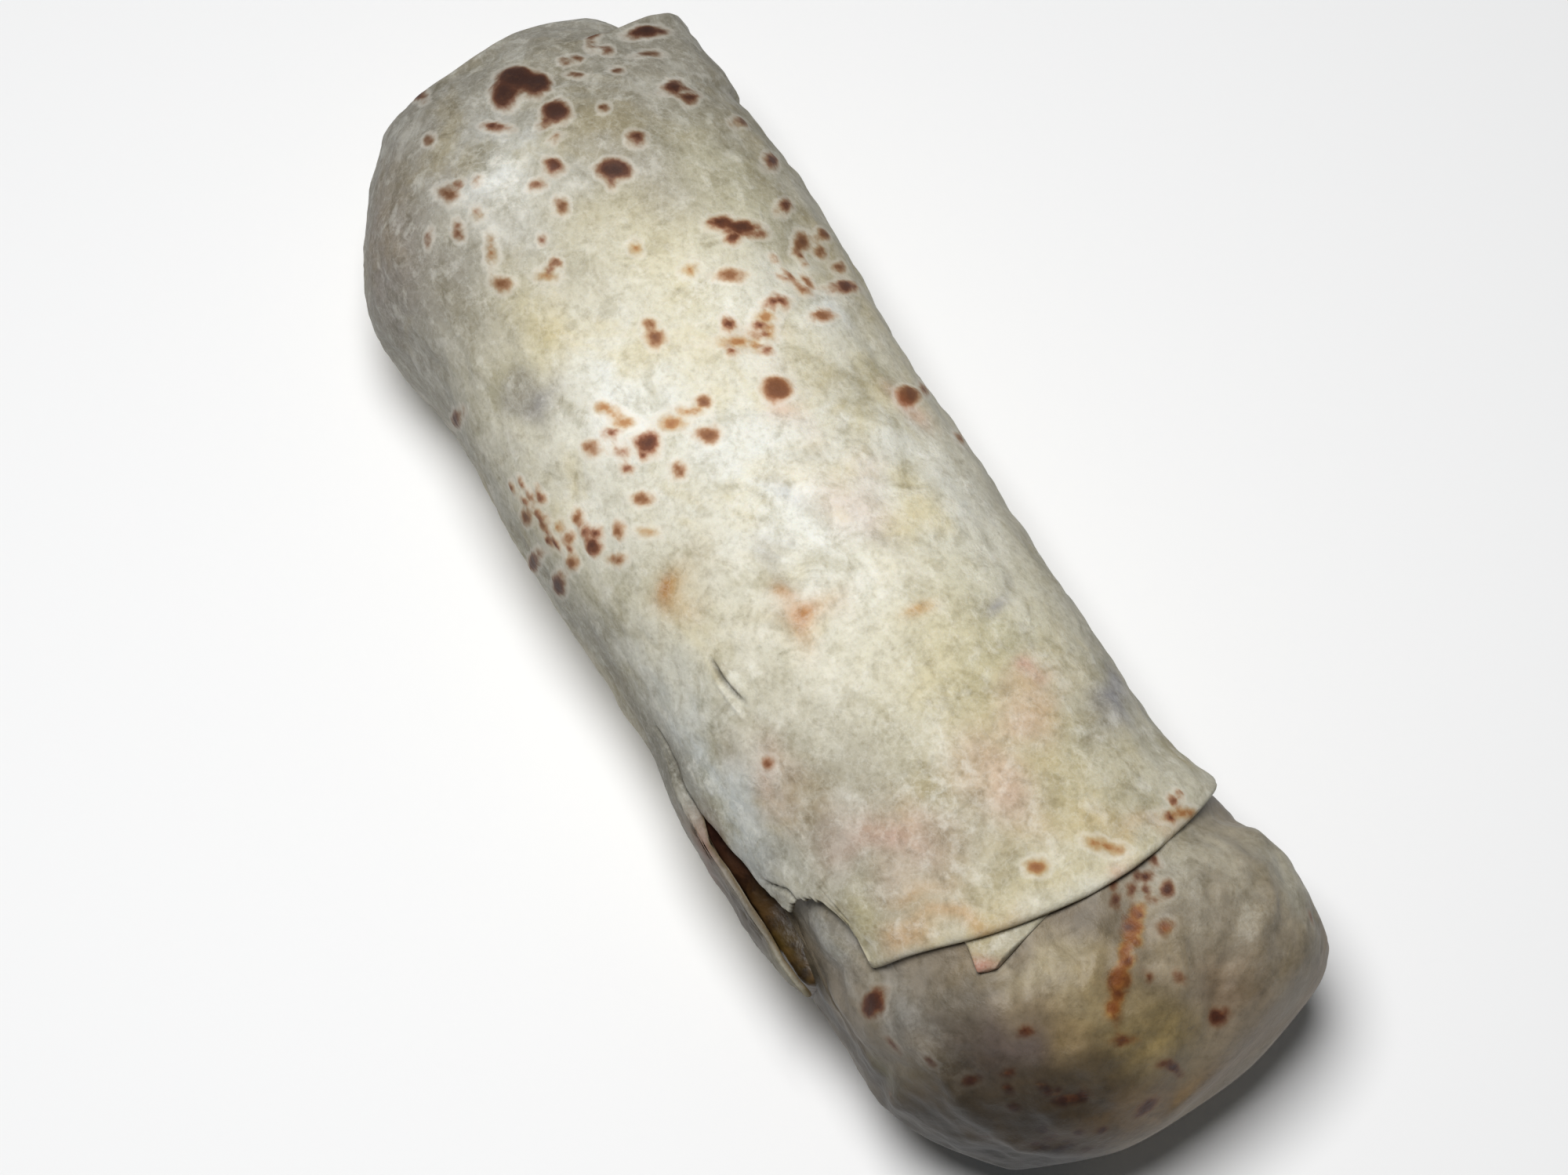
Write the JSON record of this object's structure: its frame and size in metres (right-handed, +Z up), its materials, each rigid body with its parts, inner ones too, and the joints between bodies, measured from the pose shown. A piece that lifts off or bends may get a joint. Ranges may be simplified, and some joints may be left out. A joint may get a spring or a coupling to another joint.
{
  "type": "burrito",
  "caption": "Whole rolled burrito in a toasted flour tortilla, with a folded edge, a torn strip and a tucked end.",
  "frame": {"origin": "middle of the burrito's footprint, on the surface it rests on", "axes": "+X along the roll from the closed end to the tucked end, +Z up, +Y to the side away from the torn strip"},
  "size_m": [0.2074, 0.0748, 0.0618],
  "materials": {
    "tortilla": "matte, floury, with brown toast marks",
    "filling": "moist"
  },
  "bodies": {
    "root": {"tortilla": "tortilla", "filling": "filling"}
  },
  "joints": []
}
